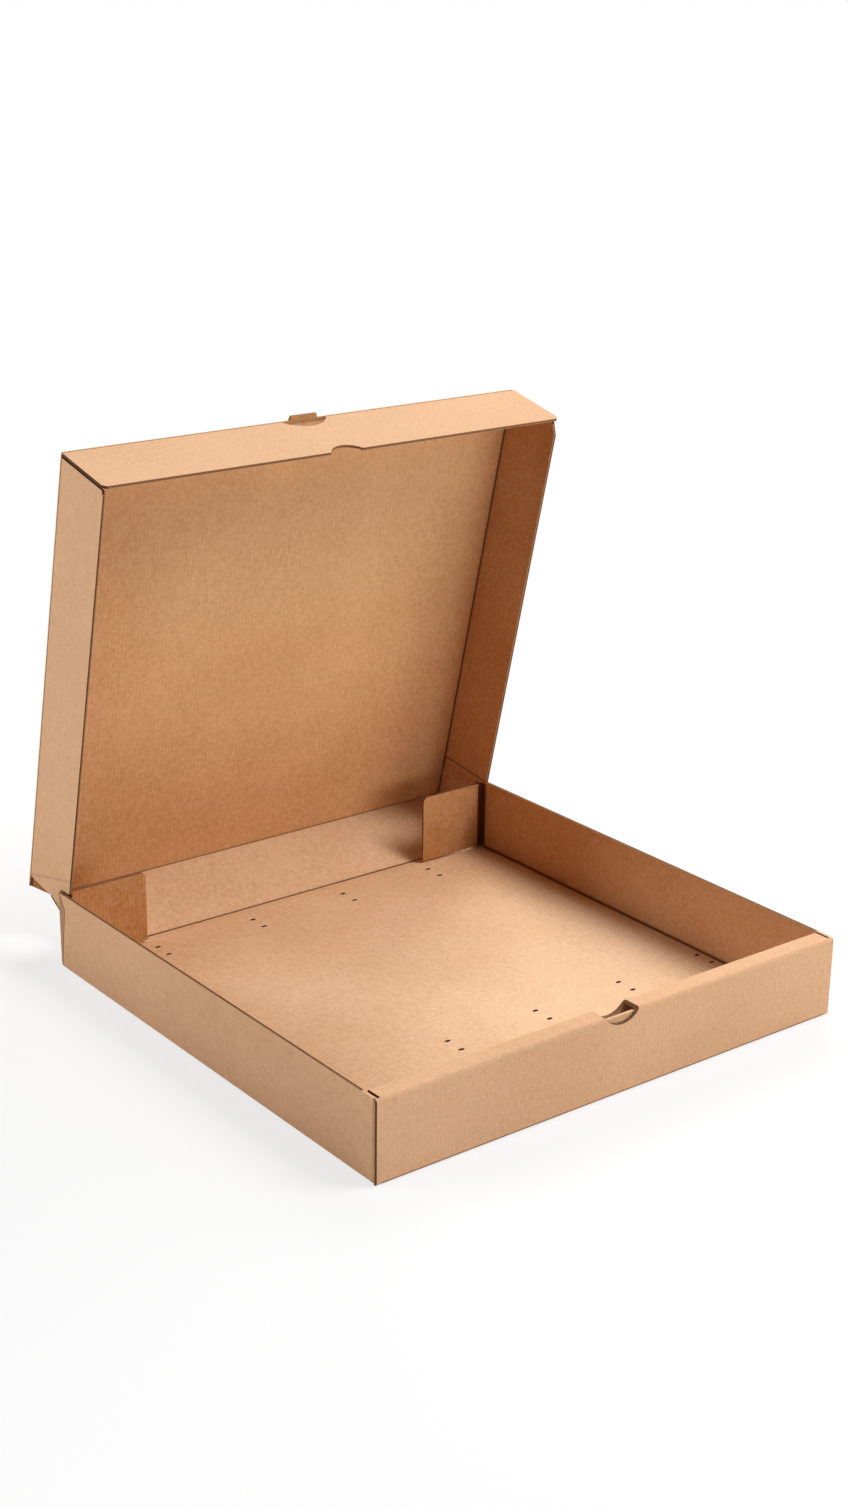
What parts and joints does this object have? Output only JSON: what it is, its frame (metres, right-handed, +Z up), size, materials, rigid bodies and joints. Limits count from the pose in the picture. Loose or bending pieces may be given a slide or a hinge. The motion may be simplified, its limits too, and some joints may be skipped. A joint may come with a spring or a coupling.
{
  "type": "pizza box",
  "caption": "Open kraft corrugated pizza box: shallow square tray with a rolled front wall, corner tabs and floor vents, and a hinged lid with folding front and side flaps.",
  "frame": {"origin": "middle of the tray's underside, on the table", "axes": "+X to the right along the front wall, +Y from the front wall to the hinged back, +Z up"},
  "size_m": [0.308, 0.3452, 0.303],
  "materials": {
    "kraft_board": "uncoated brown kraft corrugated board, matt"
  },
  "bodies": {
    "tray": {"tray": "kraft_board"},
    "back_wall": {"back_wall": "kraft_board"},
    "lid": {"lid_panel": "kraft_board"},
    "front_flap": {"front_flap": "kraft_board"},
    "left_flap": {"left_flap": "kraft_board", "left_ear": "kraft_board"},
    "right_flap": {"right_flap": "kraft_board", "right_ear": "kraft_board"}
  },
  "joints": [
    {"name": "back_wall_hinge", "type": "hinge", "parent": "tray", "child": "back_wall", "pos_m": [0, 0.1517, 0.0008], "axis": [1, 0, 0], "range_deg": [-20, 60], "deforming": ["left_ear", "right_ear"]},
    {"name": "lid_hinge", "type": "hinge", "parent": "back_wall", "child": "lid", "pos_m": [0, 0.19188, 0.024], "axis": [1, 0, 0], "range_deg": [-5.8, 16.9]},
    {"name": "front_flap_hinge", "type": "hinge", "parent": "lid", "child": "front_flap", "pos_m": [0, 0.12673, 0.2996], "axis": [-1, 0, 0], "range_deg": [0, 90]},
    {"name": "left_flap_hinge", "type": "hinge", "parent": "lid", "child": "left_flap", "pos_m": [-0.1506, 0.19188, 0.024], "axis": [0, 0.23, -0.9732], "range_deg": [0, 90]},
    {"name": "right_flap_hinge", "type": "hinge", "parent": "lid", "child": "right_flap", "pos_m": [0.1506, 0.19188, 0.024], "axis": [0, -0.23, 0.9732], "range_deg": [0, 90]}
  ],
  "couplings": [
    {"joint": "lid_hinge", "follows": "back_wall_hinge", "ratio": 0.27833}
  ]
}
